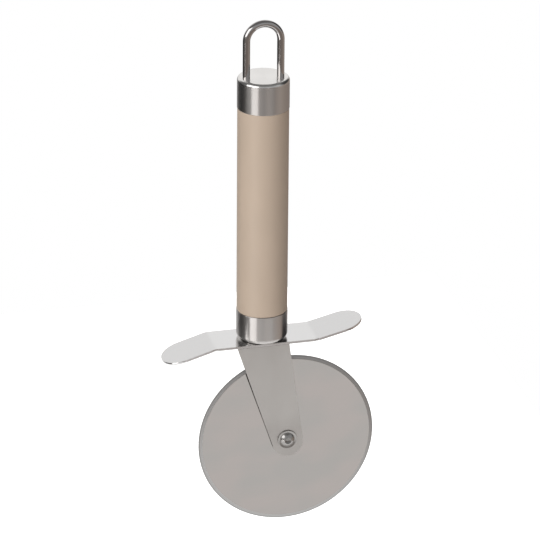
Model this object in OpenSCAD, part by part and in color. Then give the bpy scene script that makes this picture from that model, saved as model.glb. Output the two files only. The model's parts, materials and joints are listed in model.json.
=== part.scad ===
// Pizza cutter with a round handle, a wire hanging loop, a bent finger guard and
// a cutting wheel that turns on a rivet at the end of one leaning arm.
// Millimetres. The origin is where a hook bears, at the inside top of the loop.
// +Z runs up the handle, X lies in the plane of the wheel, and -Y is the front.

/* [Hanging loop] */
// Diameter of the loop's wire
wire_d = 2.8; // [2.2:0.1:3.4]
// Width of the loop over its outside
loop_w = 16; // [13:0.2:16.4]
// Clear height of the loop above the cap
loop_rise = 19.3; // [14:0.1:30]
// Thickness of the threaded plate that anchors the loop inside the cap
plate_t = 2.6; // [2:0.1:4]

/* [Handle] */
// Outside diameter of the metal cap and collar
ferrule_d = 19.8; // [19.2:0.1:24]
// Sheet that the cap and collar are drawn from
shell_t = 0.6; // [0.4:0.05:0.8]
// Height of the cap
cap_h = 12.2; // [10:0.1:18]
// Radius of the cap's top edge
cap_edge_r = 1.4; // [1:0.1:1.8]
// Height of the collar
collar_h = 11.6; // [9:0.1:16]
// Radius of the collar's lower edge
collar_edge_r = 2.2; // [1:0.1:3]
// Length of grip that shows between the cap and the collar
grip_len = 82.6; // [60:0.2:110]
// How far the grip's surface lies inside the ferrules' surface
grip_step = 0.15; // [0.05:0.05:0.4]
// Wall of the moulded grip
grip_wall = 2.6; // [2:0.1:3.4]
// Thickness of the floor at the grip's lower end
grip_floor = 5; // [3:0.5:10]
// Bevel on the grip's two shoulders, which makes the seams
seam_bevel = 0.2; // [0.1:0.05:0.3]
// Diameter of the tie rod
rod_d = 5; // [4:0.5:6]
// Diameter of the rod's thin lower end
rod_tip_d = 3; // [2.4:0.1:3.2]
// Diameter of the rivet head that closes the rod's lower end, on the flat of the arm's foot
rod_head_d = 4.6; // [3.8:0.1:5]
// Height of that head
rod_head_h = 1.2; // [0.8:0.1:1.6]

/* [Finger guard] */
// Thickness of the guard
guard_t = 0.9; // [0.8:0.1:1.6]
// Width of the guard, front to back
guard_w = 16.4; // [12:0.1:19]
// Span of the guard from tip to tip
guard_span = 79; // [60:0.5:100]
// Length of the flat middle of the guard
guard_flat = 38; // [24:0.5:40]
// Angle of the right wing, which is bent up
wing_rise = 13.5; // [5:0.5:30]
// Angle of the left wing, which is bent down
wing_fall = 16.5; // [5:0.5:30]
// Inside radius of the wings' bends
wing_bend_r = 8; // [3:0.5:12]

/* [Arm] */
// Thickness of the arm's sheet
arm_t = 1.2; // [1:0.1:1.6]
// Where the arm's middle line starts under the guard, to the right of the handle's line
arm_start = -0.55; // [-2:0.05:2]
// Lean of the arm from the handle's line
arm_lean = 13.55; // [0:0.05:20]
// Length from the guard to the axle, measured along the arm
arm_len = 44.95; // [42:0.05:60]
// Radius of the arm's round end
arm_end_r = 6.05; // [5:0.05:7]
// Distance from the axle to the centre of the round end
arm_end_drop = 1.25; // [0:0.05:2]
// Taper of each edge of the arm
arm_taper = 5; // [2:0.1:7]
// Gap between the plane of the wheel's front face and the arm where its foot bends
arm_gap = 2.8; // [2.6:0.05:3.4]
// Gap between the wheel and the pad round the axle
pad_gap = 0.5; // [0.4:0.05:0.8]
// Height above the axle where the slanting blade ends and the level pad starts
pad_rise = 6.6; // [6:0.1:9]
// Inside radius of the bend between the foot and the blade
arm_bend_r = 0.8; // [0.5:0.1:1]
// Inside radius of the slight bend between the blade and the pad
pad_bend_r = 8; // [6:1:20]
// Depth of the foot behind the arm, where it meets the guard
foot_depth = 9.5; // [8:0.1:10.5]
// Radius of the foot's rear corners
foot_corner_r = 2.5; // [1:0.1:3.5]

/* [Cutting wheel] */
// Diameter of the wheel
wheel_d = 70; // [60:0.5:74]
// Thickness of the wheel
wheel_t = 1; // [0.8:0.1:1.4]
// Width of the ground bevel on each side
bevel_w = 1.5; // [1:0.1:3]
// Thickness left at the cutting edge
edge_t = 0.1; // [0.05:0.05:0.2]

/* [Axle] */
// Diameter of the rivet's shoulder, which the wheel turns on
shoulder_d = 6; // [5:0.1:7]
// Diameter of the rivet where it passes through the arm
shank_d = 4; // [3:0.1:4.4]
// Diameter of the domed front head
dome_d = 5.5; // [5:0.1:6.5]
// Height of the domed front head
dome_h = 1.3; // [0.8:0.1:2]
// Diameter of the tool mark in the middle of the dome
dimple_d = 1.9; // [1.2:0.1:2.4]
// Depth of the tool mark
dimple_depth = 0.3; // [0.2:0.05:0.5]
// Diameter of the flat rear head
rear_head_d = 11; // [9:0.1:14]
// Thickness of the flat rear head
rear_head_t = 1.2; // [0.8:0.1:2]
// Radius of the rear head's outer edge
rear_head_edge_r = 0.5; // [0.2:0.05:0.6]
// Outside diameter of the washer under the dome
washer_d = 7.7; // [7:0.1:9]
// Thickness of the washer under the dome
washer_t = 0.5; // [0.4:0.05:1]
// Outside diameter of the two plastic spacers beside the wheel
spacer_d = 10; // [8:0.1:11]
// Thickness of each spacer
spacer_t = 0.4; // [0.3:0.05:0.4]

/* [Clearances] */
// Gap between the rivet's shoulder and what turns on it
spin_gap = 0.05; // [0.03:0.01:0.1]
// Gap between parts that are pushed together
push_gap = 0.05; // [0.03:0.01:0.1]
// Gap round the tie rod where it passes through
rod_gap = 0.15; // [0.05:0.05:0.3]
// Gap past the end of a part that stops short
end_gap = 0.3; // [0.2:0.05:0.5]

/* [Hidden] */

$fn = 96;
// Flats that each sheet-metal bend, the slight bend and the arm's round end are drawn with
bend_steps = 8;
slight_steps = 3;
end_steps = 36;
// Run-past of every cutting shape
over = 1;

// Radii
wire_r = wire_d / 2;
leg_x = loop_w / 2 - wire_r;
arch_z = wire_r - leg_x;
ferrule_r = ferrule_d / 2;
spigot_r = ferrule_r - shell_t - push_gap;
grip_r = ferrule_r - grip_step;
bore_r = grip_r - grip_wall;
plate_r = ferrule_r - cap_edge_r - push_gap;
rod_r = rod_d / 2;
rod_hole_r = rod_r + rod_gap;
rod_tip_r = rod_tip_d / 2;
shoulder_r = shoulder_d / 2;
shank_r = shank_d / 2;
dome_r = dome_d / 2;
wheel_r = wheel_d / 2;

// Heights, from the loop down
cap_top = -loop_rise;
plate_top = cap_top - shell_t;
plate_base = plate_top - plate_t;
grip_top = cap_top - cap_h;
grip_base = grip_top - grip_len;
guard_top = grip_base - collar_h;
guard_mid = guard_top - guard_t / 2;
guard_base = guard_top - guard_t;
foot_base = guard_base - arm_t;
spigot_base = guard_top + shell_t + end_gap;
spigot_bevel = collar_edge_r - shell_t + end_gap;

// Place of the axle
axle_x = arm_start + arm_len * sin(arm_lean);
axle_z = guard_base - arm_len * cos(arm_lean);

// Places along Y: the wheel is centred on the handle, and the arm slants down to it from the front
wheel_face = wheel_t / 2;
arm_back = -wheel_face - arm_gap;
pad_back = -wheel_face - pad_gap;
pad_front = pad_back - arm_t;
washer_front = pad_front - washer_t;
rear_head_y = wheel_face + pad_gap;
spacer_mid = wheel_face + pad_gap / 2;

// Length of the arm's own line from the guard to the centre of the round end
end_len = arm_len + arm_end_drop;
bend_z = foot_base - arm_bend_r;

// The foot is as wide as the arm where its bend starts
foot_left = edge_x(-1, guard_base - bend_z);
foot_right = edge_x(1, guard_base - bend_z);
foot_rear = arm_back + foot_depth;

// Outside radius of the wings' bends
wing_turn_r = wing_bend_r + guard_t;

// Centres of the arm's two bends, in Y and Z, and the slant of the blade that is tangent to both
foot_bend = [arm_back + arm_bend_r, bend_z];
pad_bend = [pad_front - pad_bend_r, axle_z + pad_rise];
bend_apart = foot_bend - pad_bend;
arm_slant = asin((arm_bend_r + pad_bend_r + arm_t) / norm(bend_apart)) - atan2(bend_apart[0], bend_apart[1]);

// Length of a wing's straight edges, from its bend to its round end
function wing_flat(tilt) =
    ((guard_span - guard_flat) / 2 - wing_turn_r * sin(tilt)) / cos(tilt) - guard_w / 2;

// x of an edge of the arm at a drop below the guard; side is 1 for the right edge and -1 for the left
function edge_x(side, drop) =
    let (a = arm_lean - side * arm_taper)
    arm_start + (side * (arm_end_r + end_len * sin(arm_taper)) + drop * sin(a)) / cos(a);

// Lays an outline drawn in X and Z across Y
module across_y(w) {
    rotate([90, 0, 0])
        linear_extrude(w, center = true)
            children();
}

// Lays an outline drawn in Y and Z across X
module across_x(w) {
    rotate([90, 0, 90])
        linear_extrude(w, center = true)
            children();
}

// Turns a profile drawn in radius and Y about the Y axis
module about_y() {
    rotate([-90, 0, 0])
        rotate_extrude()
            children();
}

// Points along an arc, from the first angle to the last
function arc(centre, r, first, last, steps = bend_steps) =
    [for (i = [0 : steps])
        let (angle = first + (last - first) * i / steps)
        centre + r * [cos(angle), sin(angle)]];

// Half outline of a drawn cup, closed and rounded at its top
module cup_half(r, h, edge_r) {
    square([r, h - edge_r]);
    square([r - edge_r, h]);
    translate([r - edge_r, h - edge_r])
        circle(edge_r);
}

// A drawn cup that stands on z = 0 with its closed end up
module drawn_cup(r, h, edge_r) {
    rotate_extrude()
        difference() {
            cup_half(r, h, edge_r);
            cup_half(r - shell_t, h - shell_t, edge_r - shell_t);
        }
}

// Half outline of a rivet's domed head, standing on y = 0
module dome_half(r, h) {
    ball_r = (r * r + h * h) / (2 * h);
    intersection() {
        translate([0, h - ball_r])
            circle(ball_r);
        square([r, h]);
    }
}

// The two holes for the loop's legs
module leg_holes(low, high) {
    for (side = [-1, 1])
        translate([side * leg_x, 0, low - over])
            cylinder(r = wire_r + push_gap, h = high - low + 2 * over);
}

// A flat ring about the Y axis, centred on y = 0
module flat_ring(r_out, r_in, t) {
    about_y()
        translate([r_in, -t / 2])
            square([r_out - r_in, t]);
}

// Wire bent into a tall arch, with its legs run down through the cap and the plate
module hang_loop() {
    color("silver") {
        translate([0, 0, arch_z])
            rotate([90, 0, 0])
                rotate_extrude(angle = 180)
                    translate([leg_x, 0])
                        circle(wire_r);
        for (side = [-1, 1])
            translate([side * leg_x, 0, plate_base])
                cylinder(r = wire_r, h = arch_z - plate_base);
    }
}

// Threaded plate under the cap's top: the loop is brazed into it and the tie rod screws into it
module loop_plate() {
    color("darkgray")
        difference() {
            translate([0, 0, plate_base])
                cylinder(r = plate_r, h = plate_t);
            translate([0, 0, plate_base - over])
                cylinder(r = rod_r + push_gap, h = plate_t + 2 * over);
            leg_holes(plate_base, plate_top);
        }
}

// Drawn cap over the grip's upper end
module top_cap() {
    color("lightgray")
        difference() {
            translate([0, 0, grip_top])
                drawn_cup(ferrule_r, cap_h, cap_edge_r);
            leg_holes(plate_top, cap_top);
        }
}

// Moulded grip: a tube with a floor, and a spigot at each end that the metal slips over
module grip() {
    color("tan")
        rotate_extrude()
            polygon([[rod_hole_r, spigot_base],
                     [spigot_r - spigot_bevel, spigot_base],
                     [spigot_r, spigot_base + spigot_bevel],
                     [spigot_r, grip_base],
                     [grip_r - seam_bevel, grip_base],
                     [grip_r, grip_base + seam_bevel],
                     [grip_r, grip_top - seam_bevel],
                     [grip_r - seam_bevel, grip_top],
                     [spigot_r, grip_top],
                     [spigot_r, plate_base],
                     [bore_r, plate_base],
                     [bore_r, spigot_base + grip_floor],
                     [rod_hole_r, spigot_base + grip_floor]]);
}

// Drawn collar over the grip's lower end, closed and rounded where it meets the guard
module collar() {
    color("lightgray")
        difference() {
            translate([0, 0, grip_base])
                mirror([0, 0, 1])
                    drawn_cup(ferrule_r, collar_h, collar_edge_r);
            translate([0, 0, guard_top - over])
                cylinder(r = rod_hole_r, h = shell_t + 2 * over);
        }
}

// Rod that pulls the handle together: its shoulder stands on the guard, and its tip is
// riveted through the guard and the arm's foot
module tie_rod() {
    color("gray") {
        translate([0, 0, guard_top])
            cylinder(r = rod_r, h = plate_top - end_gap - guard_top);
        translate([0, 0, foot_base])
            cylinder(r = rod_tip_r, h = guard_top - foot_base);
        translate([0, 0, foot_base])
            mirror([0, 0, 1])
                rotate_extrude()
                    dome_half(rod_head_d / 2, rod_head_h);
    }
}

// Side profile of half the guard, in X and Z about the middle of the strip, past the bend and out to its end
function wing_profile(tilt) =
    let (centre = [guard_flat / 2, guard_t / 2 + wing_bend_r],
         down = [sin(tilt), -cos(tilt)],
         reach = (wing_flat(tilt) + guard_w) * [cos(tilt), sin(tilt)])
    concat(arc(centre, wing_bend_r, -90, tilt - 90),
           [centre + wing_bend_r * down + reach, centre + wing_turn_r * down + reach],
           arc(centre, wing_turn_r, tilt - 90, -90));

// Room that one wing fills: a strip with a round end, laid along the wing
module wing_room(tilt) {
    translate([guard_flat / 2, 0, guard_t / 2 + wing_bend_r])
        rotate([0, -tilt, 0])
            translate([0, 0, -wing_turn_r - over])
                linear_extrude(guard_t + 2 * over) {
                    translate([-wing_turn_r, -guard_w / 2])
                        square([wing_turn_r + wing_flat(tilt), guard_w]);
                    translate([wing_flat(tilt), 0])
                        circle(guard_w / 2);
                }
}

// Finger guard: one strip with round ends, its right wing bent up and its left wing bent down
module finger_guard() {
    color("gainsboro")
        translate([0, 0, guard_mid])
            difference() {
                intersection() {
                    across_y(guard_w)
                        polygon(concat(wing_profile(wing_rise), [for (p = wing_profile(wing_fall)) -p]));
                    union() {
                        cube([guard_flat, guard_w + 2 * over, guard_t + 2 * over], center = true);
                        wing_room(wing_rise);
                        rotate([0, 180, 0])
                            wing_room(wing_fall);
                    }
                }
                cylinder(r = rod_tip_r + push_gap, h = guard_t + 2 * over, center = true);
            }
}

// Front outline of the arm, in X and Z: a foot over a leaning, tapered blade with a round end
module arm_outline() {
    end_centre = [arm_start + end_len * sin(arm_lean), guard_base - end_len * cos(arm_lean)];
    end_first = 180 + arm_lean + arm_taper;
    end_last = 360 + arm_lean - arm_taper;
    polygon(concat([[foot_left, guard_base + over], [foot_left, bend_z]],
                   arc(end_centre, arm_end_r, end_first, end_last, end_steps),
                   [[foot_right, bend_z], [foot_right, guard_base + over]]));
}

// Side profile of the arm, in Y and Z: a level foot, its bend, the slanting blade and the pad
module arm_side_profile() {
    foot_turn = 180 + arm_slant;
    low = axle_z - arm_end_drop - arm_end_r - over;
    polygon(concat([[foot_rear, guard_base], [foot_rear, foot_base]],
                   arc(foot_bend, arm_bend_r, 90, foot_turn),
                   arc(pad_bend, pad_bend_r + arm_t, arm_slant, 0, slight_steps),
                   [[pad_back, low], [pad_front, low]],
                   arc(pad_bend, pad_bend_r, 0, arm_slant, slight_steps),
                   arc(foot_bend, arm_bend_r + arm_t, foot_turn, 90)));
}

// What is cut away to round one rear corner of the foot
module corner_cut() {
    difference() {
        square(foot_corner_r + over);
        circle(foot_corner_r);
    }
}

// Arm pressed from one sheet: a foot riveted under the guard, a leaning tapered blade that
// slants back towards the wheel, and a pad that lies level beside it
module wheel_arm() {
    color("silver")
        difference() {
            intersection() {
                across_y(2 * guard_w)
                    arm_outline();
                across_x(guard_span)
                    arm_side_profile();
            }
            translate([0, 0, foot_base - over])
                linear_extrude(arm_t + 2 * over) {
                    translate([foot_right - foot_corner_r, foot_rear - foot_corner_r])
                        corner_cut();
                    translate([foot_left + foot_corner_r, foot_rear - foot_corner_r])
                        rotate(90)
                            corner_cut();
                    circle(rod_tip_r + push_gap);
                }
            translate([axle_x, pad_back + over, axle_z])
                rotate([90, 0, 0])
                    cylinder(r = shank_r + push_gap, h = arm_t + 2 * over);
        }
}

// Shouldered rivet: the wheel turns on the shoulder between the flat rear head and the pad,
// and the thin end is spun over into a dome in front
module axle_rivet() {
    dimple_r = dimple_d / 2;
    mark_r = (dimple_r * dimple_r + dimple_depth * dimple_depth) / (2 * dimple_depth);
    dome_top = washer_front - dome_h;
    color("silver")
        translate([axle_x, 0, axle_z])
            about_y()
                difference() {
                    union() {
                        translate([0, rear_head_y])
                            cup_half(rear_head_d / 2, rear_head_t, rear_head_edge_r);
                        translate([0, pad_back])
                            square([shoulder_r, rear_head_y - pad_back]);
                        translate([0, washer_front])
                            square([shank_r, pad_back - washer_front]);
                        translate([0, washer_front])
                            mirror([0, 1])
                                dome_half(dome_r, dome_h);
                    }
                    translate([0, dome_top + dimple_depth - mark_r])
                        circle(mark_r);
                    translate([-rear_head_d, dome_top - over])
                        square([rear_head_d, rear_head_y + rear_head_t - dome_top + 2 * over]);
                }
}

// Washer between the dome and the arm
module front_washer() {
    color("silver")
        translate([axle_x, pad_front - washer_t / 2, axle_z])
            flat_ring(washer_d / 2, shank_r + push_gap, washer_t);
}

// Plastic spacer beside the wheel
module spacer(y) {
    color("whitesmoke")
        translate([axle_x, y, axle_z])
            flat_ring(spacer_d / 2, shoulder_r + 2 * spin_gap, spacer_t);
}

// Spacer between the arm and the wheel
module front_spacer() {
    spacer(-spacer_mid);
}

// Spacer between the wheel and the rivet's rear head
module rear_spacer() {
    spacer(spacer_mid);
}

// Thin disc, ground from both sides to an edge in the middle of its thickness
module cutting_wheel() {
    bore = shoulder_r + spin_gap;
    color("silver")
        translate([axle_x, 0, axle_z])
            about_y()
                polygon([[bore, -wheel_face],
                         [wheel_r - bevel_w, -wheel_face],
                         [wheel_r, -edge_t / 2],
                         [wheel_r, edge_t / 2],
                         [wheel_r - bevel_w, wheel_face],
                         [bore, wheel_face]]);
}

hang_loop();
loop_plate();
top_cap();
grip();
collar();
tie_rod();
finger_guard();
wheel_arm();
axle_rivet();
front_washer();
front_spacer();
rear_spacer();
cutting_wheel();
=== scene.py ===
# %% [markdown]
# # A pizza cutter in steel and beige plastic
# This lesson dresses a finished model of a pizza cutter. The sizes, the joints and the hidden pieces
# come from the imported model, which loads as a fixed frame. Blender's part is what the eye sees: each
# piece of sheet, wire and plastic is made again with a smooth surface and softened edges, and gets
# its real finish. All lengths are metres, and the handle runs up the Z axis.

# %% Load the frame
import json
import math

import bmesh
import bpy
from mathutils import Matrix, Vector


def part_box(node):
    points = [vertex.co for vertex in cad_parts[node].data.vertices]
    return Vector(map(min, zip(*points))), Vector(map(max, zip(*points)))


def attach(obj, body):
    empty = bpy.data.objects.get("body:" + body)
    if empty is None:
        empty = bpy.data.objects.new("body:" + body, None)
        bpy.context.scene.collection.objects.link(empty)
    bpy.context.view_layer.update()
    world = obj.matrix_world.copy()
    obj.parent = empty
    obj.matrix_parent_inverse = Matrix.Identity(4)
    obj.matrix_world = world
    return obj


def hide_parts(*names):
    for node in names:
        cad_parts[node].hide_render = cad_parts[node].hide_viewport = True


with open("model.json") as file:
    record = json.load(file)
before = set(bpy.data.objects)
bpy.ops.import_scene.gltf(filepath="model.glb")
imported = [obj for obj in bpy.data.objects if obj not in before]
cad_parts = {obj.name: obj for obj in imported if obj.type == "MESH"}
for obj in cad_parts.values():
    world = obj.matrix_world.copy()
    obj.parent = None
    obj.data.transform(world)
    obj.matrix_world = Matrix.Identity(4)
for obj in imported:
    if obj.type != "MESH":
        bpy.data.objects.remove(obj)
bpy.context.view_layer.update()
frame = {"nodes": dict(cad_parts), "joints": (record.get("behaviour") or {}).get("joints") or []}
scene = bpy.context.scene
MM = 0.001
TINY = 0.001 * MM
QUARTER_TURN = math.radians(90)
HALF_TURN = math.radians(180)
FULL_TURN = math.radians(360)
print("nodes:", ", ".join(sorted(frame["nodes"])))

# %% [markdown]
# ## The camera
# The photograph was taken from a good distance, from the left and from above. Its lens and place
# were found by fitting a camera to the rings and edges of the handle and to the wheel's outline.
# A camera can be placed by hand, but a point to aim at, two angles and a distance say more clearly
# where it stands, and each of them can be changed alone.

# %% Camera
AIM = Vector((3.1, 0, -98.6)) * MM
CAMERA_AZIMUTH = math.radians(-14.66)
CAMERA_ELEVATION = math.radians(23.74)
CAMERA_ROLL = math.radians(0.45)
CAMERA_DISTANCE = 1.4224
LENS_MM = 248.6
SENSOR_MM = 36

camera = bpy.data.objects.new("camera", bpy.data.cameras.new("camera"))
scene.collection.objects.link(camera)
camera.data.lens = LENS_MM
camera.data.sensor_width = SENSOR_MM
heading = Matrix.Rotation(CAMERA_AZIMUTH, 4, "Z")
tip = Matrix.Rotation(QUARTER_TURN - CAMERA_ELEVATION, 4, "X")
roll = Matrix.Rotation(CAMERA_ROLL, 4, "Z")
back_off = Matrix.Translation((0, 0, CAMERA_DISTANCE))
camera.matrix_world = Matrix.Translation(AIM) @ heading @ tip @ roll @ back_off
scene.camera = camera
print("camera stands at", [round(v, 3) for v in camera.matrix_world.translation])

# %% [markdown]
# ## Nodes made short
# A finish is a small graph of nodes. Drawn by hand it is a picture, but in code each node costs
# three or four lines. A few helpers keep it readable: one adds any node, and the others stand for
# the nodes that come again and again. Each gives back the socket to go on with, so they can be
# written inside each other like a sum.

# %% Helpers for nodes
# Where the factor, the two items and the result are among the sockets of a Mix node.
MIX_SOCKETS = {"FLOAT": (0, 2, 3, 0), "RGBA": (0, 6, 7, 2)}


def add_node(tree, kind, settings=None, inputs=None):
    """Adds a node. settings are its own properties, and inputs are values or sockets to join."""
    node = tree.nodes.new("ShaderNode" + kind)
    for name, value in (settings or {}).items():
        setattr(node, name, value)
    for name, value in (inputs or {}).items():
        if isinstance(value, bpy.types.NodeSocket):
            tree.links.new(value, node.inputs[name])
        else:
            node.inputs[name].default_value = value
    return node


def calculate(tree, operation, first, second=None):
    """One step of arithmetic on numbers or sockets."""
    numbers = {0: first} if second is None else {0: first, 1: second}
    return add_node(tree, "Math", {"operation": operation}, numbers).outputs[0]


def spread(tree, value, start, end, low=0, high=1):
    """Goes from low to high as the value goes from start to end."""
    return add_node(tree, "MapRange", inputs={
        "Value": value, "From Min": start, "From Max": end, "To Min": low, "To Max": high}).outputs[0]


def mix(tree, factor, first, second, kind="RGBA"):
    """Goes from the first colour or value to the second as the factor goes from 0 to 1."""
    factor_in, first_in, second_in, result = MIX_SOCKETS[kind]
    first, second = ((*item, 1) if isinstance(item, tuple) else item for item in (first, second))
    sockets = {factor_in: factor, first_in: first, second_in: second}
    return add_node(tree, "Mix", {"data_type": kind}, sockets).outputs[result]


# %% Helpers for places
def object_place(tree):
    """The place on the piece, in metres."""
    return add_node(tree, "TexCoord").outputs["Object"]


def coordinate(tree, axis, kind="Object"):
    """One coordinate of the place, or of another vector that Texture Coordinate gives."""
    vector = add_node(tree, "TexCoord").outputs[kind]
    return add_node(tree, "SeparateXYZ", inputs={"Vector": vector}).outputs[axis]


def start_material(name, colour, metallic, roughness=0.5):
    """A material with its own shader, and the tree and shader to go on with."""
    material = bpy.data.materials.new(name)
    material.use_nodes = True
    tree = material.node_tree
    shader = tree.nodes["Principled BSDF"]
    shader.inputs["Base Color"].default_value = (*colour, 1)
    shader.inputs["Metallic"].default_value = metallic
    shader.inputs["Roughness"].default_value = roughness
    return material, tree, shader


# %% [markdown]
# ## Grain
# Steel is never quite even: polishing and rolling leave fine lines, and moulding leaves a faint
# skin. All of these are noise that is stretched. Object coordinates are divided by the size of the
# grain along each axis, so a small number gives fine lines across that axis and a large one draws
# them out. The noise then tilts the surface a little, and makes some places rougher than others.
# A picture of scratches could do this too, but it would need unwrapping and would blur up close.

# %% Helpers for grain
# Nearly all of a noise lies between these two values.
NOISE_LOW = 0.3
NOISE_HIGH = 0.7


def stretched_noise(tree, grain_mm, detail=3):
    """Noise whose spots are as long as grain_mm says along each axis."""
    scale = [1 / (size * MM) for size in grain_mm]
    scaled = add_node(tree, "Mapping", inputs={"Vector": object_place(tree), "Scale": scale})
    return add_node(tree, "TexNoise", inputs={
        "Vector": scaled.outputs[0], "Scale": 1, "Detail": detail}).outputs[0]


def tilt_surface(tree, shader, *heights):
    """Tilts the surface by one or more patterns, each a socket with its depth in metres."""
    normal = None
    for height, depth in heights:
        inputs = {"Height": height, "Distance": depth, "Strength": 1}
        if normal:
            inputs["Normal"] = normal
        normal = add_node(tree, "Bump", inputs=inputs).outputs[0]
    tree.links.new(normal, shader.inputs["Normal"])


def vary_roughness(tree, shader, pattern, low, high):
    """Spreads the roughness from low to high as the pattern goes from its dark to its light spots."""
    rough = spread(tree, pattern, NOISE_LOW, NOISE_HIGH, low, high)
    tree.links.new(rough, shader.inputs["Roughness"])


def vary_colour(tree, shader, pattern, dark, light):
    """Mixes two close colours by the pattern."""
    colour = mix(tree, spread(tree, pattern, NOISE_LOW, NOISE_HIGH), dark, light)
    tree.links.new(colour, shader.inputs["Base Color"])


# %% [markdown]
# ## Satin steel, turned
# The cap and the collar are drawn from stainless sheet and then polished while they spin. The belt
# leaves very fine lines that run round them. Such lines spread a reflection along the handle, so a
# lamp shows as a long upright streak. Anisotropy does that for the parts that are too fine to see,
# and stretched noise draws the lines that are just coarse enough. The belt doesn't reach the closed
# ends, so near them the steel is smoother. There its colour is also painted brighter than the wall,
# a painted highlight, so that the cap's top shows the pale backdrop brighter.

# %% Satin steel
# The colour at the closed ends is painted brighter than the wall's: a painted highlight.
PAINTED_BRIGHT_END = (0.76, 0.74, 0.72)
BRUSHED_WALL = (0.58, 0.555, 0.535)
END_ROUGHNESS = 0.16
WALL_ROUGHNESS = (0.28, 0.3)
BELT_STARTS = 0.9 * MM
BELT_FULL = 1.6 * MM
BELT_STRETCH = 0.92
STRETCH_TURN = 0.25
BELT_LINES_MM = (20, 20, 0.15)
BELT_SMEARS_MM = (20, 20, 1.5)
BELT_LINE_DEPTH = 0.0004 * MM
CAP_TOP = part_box("top_cap")[1].z
COLLAR_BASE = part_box("collar")[0].z


def distance_from_ends(tree):
    """How far the place is from the nearer closed end, the cap's top or the collar's base."""
    from_middle = calculate(tree, "SUBTRACT", coordinate(tree, "Z"), (CAP_TOP + COLLAR_BASE) / 2)
    half_length = (CAP_TOP - COLLAR_BASE) / 2
    return calculate(tree, "SUBTRACT", half_length, calculate(tree, "ABSOLUTE", from_middle))


def make_satin_steel():
    material, tree, shader = start_material("satin_steel", BRUSHED_WALL, 1)
    shader.inputs["Anisotropic"].default_value = BELT_STRETCH
    shader.inputs["Anisotropic Rotation"].default_value = STRETCH_TURN
    round_axis = add_node(tree, "Tangent", {"direction_type": "RADIAL", "axis": "Z"})
    tree.links.new(round_axis.outputs[0], shader.inputs["Tangent"])
    brushed_beyond_painted_ends = spread(tree, distance_from_ends(tree), BELT_STARTS, BELT_FULL)
    lines = calculate(tree, "MULTIPLY", stretched_noise(tree, BELT_LINES_MM), brushed_beyond_painted_ends)
    tilt_surface(tree, shader, (lines, BELT_LINE_DEPTH))
    smears = stretched_noise(tree, BELT_SMEARS_MM)
    wall = spread(tree, smears, NOISE_LOW, NOISE_HIGH, *WALL_ROUGHNESS)
    tree.links.new(mix(tree, brushed_beyond_painted_ends, END_ROUGHNESS, wall, "FLOAT"), shader.inputs["Roughness"])
    # Painted highlight: the closed ends get the brighter colour, the brushed wall the darker one.
    tree.links.new(mix(tree, brushed_beyond_painted_ends, PAINTED_BRIGHT_END, BRUSHED_WALL), shader.inputs["Base Color"])
    return material


satin_steel = make_satin_steel()
print("made", satin_steel.name, "for walls between", round(COLLAR_BASE / MM, 1), "and",
      round(CAP_TOP / MM, 1), "mm")

# %% [markdown]
# ## Polished wire
# The hanging loop is hard drawn wire with a bright finish. It mirrors the room almost sharply.
# Drawing leaves it a little uneven along its length, which is too weak to see but keeps the mirror
# from looking perfect. A slow wave in the surface does that better than scratches would.

# %% Polished wire
WIRE_COLOUR = (0.5, 0.48, 0.47)
WIRE_ROUGHNESS = (0.09, 0.15)
WIRE_WAVES_MM = (3, 3, 4)
WIRE_WAVE_DEPTH = 0.01 * MM


def make_polished_wire():
    material, tree, shader = start_material("polished_wire", WIRE_COLOUR, 1)
    waves = stretched_noise(tree, WIRE_WAVES_MM, detail=1)
    tilt_surface(tree, shader, (waves, WIRE_WAVE_DEPTH))
    vary_roughness(tree, shader, waves, *WIRE_ROUGHNESS)
    return material


polished_wire = make_polished_wire()
print("made", polished_wire.name, "with roughness", WIRE_ROUGHNESS)

# %% [markdown]
# ## Beige moulding
# The grip is an injection moulding in a warm beige, with a smooth skin that is neither gloss nor
# quite matt. The colour of such plastic clouds a little, and its skin has a fine tooth from the
# mould. Both are noise: a coarse one for the colour and a fine one for the surface.

# %% Beige plastic
GRIP_DARK = (0.507, 0.405, 0.317)
GRIP_LIGHT = (0.533, 0.425, 0.333)
GRIP_ROUGHNESS = (0.4, 0.46)
GRIP_SPECULAR = 0.45
GRIP_CLOUDS_MM = (8, 8, 20)
GRIP_TOOTH_MM = (0.3, 0.3, 0.3)
GRIP_TOOTH_DEPTH = 0.006 * MM


def make_grip_plastic():
    material, tree, shader = start_material("grip_plastic", GRIP_LIGHT, 0)
    shader.inputs["Specular IOR Level"].default_value = GRIP_SPECULAR
    clouds = stretched_noise(tree, GRIP_CLOUDS_MM)
    vary_colour(tree, shader, clouds, GRIP_DARK, GRIP_LIGHT)
    tilt_surface(tree, shader, (stretched_noise(tree, GRIP_TOOTH_MM), GRIP_TOOTH_DEPTH))
    vary_roughness(tree, shader, clouds, *GRIP_ROUGHNESS)
    return material


grip_plastic = make_grip_plastic()
print("made", grip_plastic.name, "with roughness", GRIP_ROUGHNESS)

# %% [markdown]
# ## Mirror strip
# The finger guard is polished sheet. It mirrors the collar that stands on it, and elsewhere it
# mirrors the pale backdrop. Real sheet isn't flat like glass, so a slow wave bends the mirror, and
# a few fine hairlines run along the strip.

# %% Mirror steel
GUARD_COLOUR = (0.71, 0.702, 0.698)
GUARD_ROUGHNESS = (0.1, 0.16)
GUARD_WAVES_MM = (12, 8, 12)
GUARD_WAVE_DEPTH = 0.03 * MM
GUARD_HAIRS_MM = (12, 0.2, 12)
GUARD_HAIR_DEPTH = 0.0006 * MM


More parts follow.
